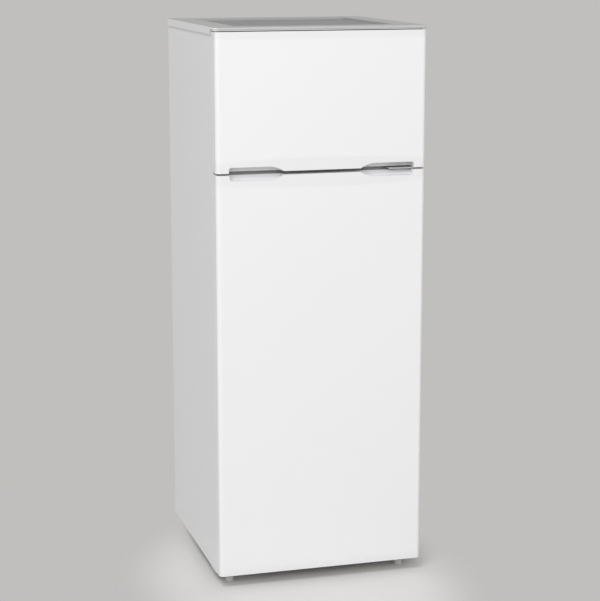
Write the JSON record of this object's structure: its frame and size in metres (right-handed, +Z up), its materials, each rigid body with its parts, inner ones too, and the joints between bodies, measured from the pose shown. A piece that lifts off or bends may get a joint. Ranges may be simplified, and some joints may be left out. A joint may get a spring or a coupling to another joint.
{
  "type": "top freezer refrigerator",
  "caption": "Upright domestic refrigerator with a smaller freezer door on top, a larger fresh-food door below, bowed door caps with finger pockets and a top cover that reaches out over the doors.",
  "frame": {"origin": "on the floor, at the centre of the overall width and depth", "axes": "+Z up, the doors face -Y, the doors hinge on the +X side"},
  "size_m": [0.546, 0.568, 1.43],
  "materials": {
    "door_paint": "gloss",
    "door_cap": "gloss",
    "cabinet_paint": "satin",
    "zinc_steel": "satin",
    "screw_steel": "satin",
    "cover_plastic": "satin",
    "panel_plastic": "matte",
    "liner_plastic": "satin",
    "foam": "matte",
    "gasket_rubber": "matte",
    "nylon": "satin",
    "aluminium": "satin",
    "black_tube": "satin",
    "black_steel": "satin",
    "black_rubber": "matte",
    "black_plastic": "matte",
    "grey_plastic": "matte",
    "copper": "satin",
    "shelf_glass": "gloss",
    "clear_plastic": "gloss",
    "wire_white": "gloss",
    "bulb_glass": "gloss",
    "foot_plastic": "satin",
    "roller_plastic": "satin",
    "knob_plastic": "satin"
  },
  "bodies": {
    "cabinet": {"side_panel_left": "cabinet_paint", "side_panel_right": "cabinet_paint", "rear_panel": "zinc_steel", "centre_rail": "cabinet_paint", "bottom_rail": "cabinet_paint", "base_plate": "zinc_steel", "freezer_liner": "liner_plastic", "fridge_liner": "liner_plastic", "cabinet_foam": "foam", "freezer_evaporator": "aluminium", "fridge_evaporator": "aluminium", "condenser_coil": "black_tube", "drain_hose": "grey_plastic", "top_cover": "cover_plastic", "top_panel": "panel_plastic", "top_hinge": "zinc_steel", "cover_front_trim": "cover_plastic", "centre_hinge": "zinc_steel", "bottom_hinge": "zinc_steel", "hinge_screws": "screw_steel", "foot_brackets": "zinc_steel", "roller_brackets": "zinc_steel", "compressor_plate": "zinc_steel", "compressor_grommets": "black_rubber", "compressor": "black_steel", "relay_cover": "black_plastic", "drip_tray": "black_plastic", "filter_drier": "copper", "copper_pipes": "copper", "cord_gland": "black_rubber", "glass_shelves": "shelf_glass", "crisper_lid": "shelf_glass", "wire_shelf": "wire_white", "lamp_housing": "liner_plastic", "thermostat": "grey_plastic", "lamp_lens": "clear_plastic", "lamp_bulb": "bulb_glass"},
    "freezer_door": {"freezer_door_skin": "door_paint", "freezer_door_bottom_cap": "door_cap", "freezer_door_top_cap": "door_cap", "freezer_door_liner": "liner_plastic", "freezer_door_foam": "foam", "freezer_door_gasket": "gasket_rubber", "freezer_door_bushes": "nylon", "freezer_door_racks": "clear_plastic"},
    "fridge_door": {"fridge_door_skin": "door_paint", "fridge_door_bottom_cap": "door_cap", "fridge_door_top_cap": "door_cap", "fridge_door_liner": "liner_plastic", "fridge_door_foam": "foam", "fridge_door_gasket": "gasket_rubber", "fridge_door_bushes": "nylon", "fridge_door_bins": "clear_plastic"},
    "knob": {"thermostat_knob": "knob_plastic"},
    "plunger": {"switch_plunger": "knob_plastic"},
    "crisper": {"crisper_drawer": "clear_plastic"},
    "left_foot": {"foot_left": "foot_plastic"},
    "right_foot": {"foot_right": "foot_plastic"},
    "left_roller": {"roller_left": "roller_plastic"},
    "right_roller": {"roller_right": "roller_plastic"}
  },
  "joints": [
    {"name": "freezer_door_hinge", "type": "hinge", "parent": "cabinet", "child": "freezer_door", "pos_m": [0.261, -0.262, 1.25], "axis": [0, 0, 1], "range_deg": [0, 120]},
    {"name": "fridge_door_hinge", "type": "hinge", "parent": "cabinet", "child": "fridge_door", "pos_m": [0.261, -0.262, 0.55], "axis": [0, 0, 1], "range_deg": [0, 120]},
    {"name": "thermostat_turn", "type": "hinge", "parent": "cabinet", "child": "knob", "pos_m": [0.19, -0.126, 0.962], "axis": [1, 0, 0], "range_deg": [0, 270]},
    {"name": "switch_press", "type": "slide", "parent": "cabinet", "child": "plunger", "axis": [0, 1, 0], "range_m": [0, 0.003], "stiffness_N_per_m": 120, "springref_m": -0.005},
    {"name": "crisper_slide", "type": "slide", "parent": "cabinet", "child": "crisper", "axis": [0, -1, 0], "range_m": [0, 0.05]},
    {"name": "left_foot_turn", "type": "hinge", "parent": "cabinet", "child": "left_foot", "pos_m": [-0.232, -0.22, 0.01], "axis": [0, 0, 1], "continuous": true},
    {"name": "right_foot_turn", "type": "hinge", "parent": "cabinet", "child": "right_foot", "pos_m": [0.232, -0.22, 0.01], "axis": [0, 0, 1], "continuous": true},
    {"name": "left_roller_turn", "type": "hinge", "parent": "cabinet", "child": "left_roller", "pos_m": [-0.24, 0.165, 0.0125], "axis": [1, 0, 0], "continuous": true},
    {"name": "right_roller_turn", "type": "hinge", "parent": "cabinet", "child": "right_roller", "pos_m": [0.24, 0.165, 0.0125], "axis": [1, 0, 0], "continuous": true}
  ]
}
